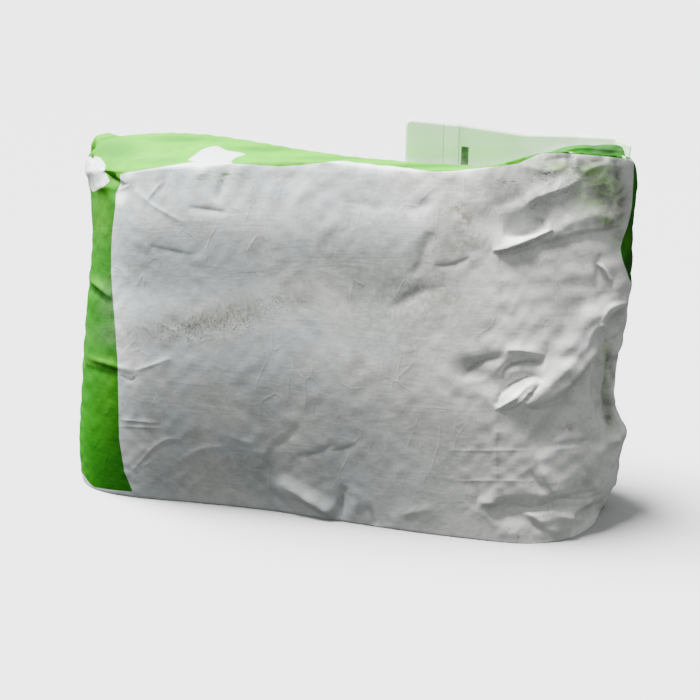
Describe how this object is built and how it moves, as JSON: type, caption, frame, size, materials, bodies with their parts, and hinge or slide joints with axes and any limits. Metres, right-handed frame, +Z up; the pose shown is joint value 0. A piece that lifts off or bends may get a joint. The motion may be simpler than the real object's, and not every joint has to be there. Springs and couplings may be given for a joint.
{
  "type": "cement sack",
  "caption": "Filled plastic film sack of cement, standing on its long edge, with one end packed full and the other folded back behind it.",
  "frame": {"origin": "on the floor, under the middle of the sack's outer box", "axes": "+X along the sack towards its folded-back end, -Y out of its front panel, +Z up"},
  "size_m": [0.4601, 0.1465, 0.3031],
  "materials": {
    "film": "satin printed polyethylene film, creased"
  },
  "bodies": {
    "root": {"sack": "film"}
  },
  "joints": []
}
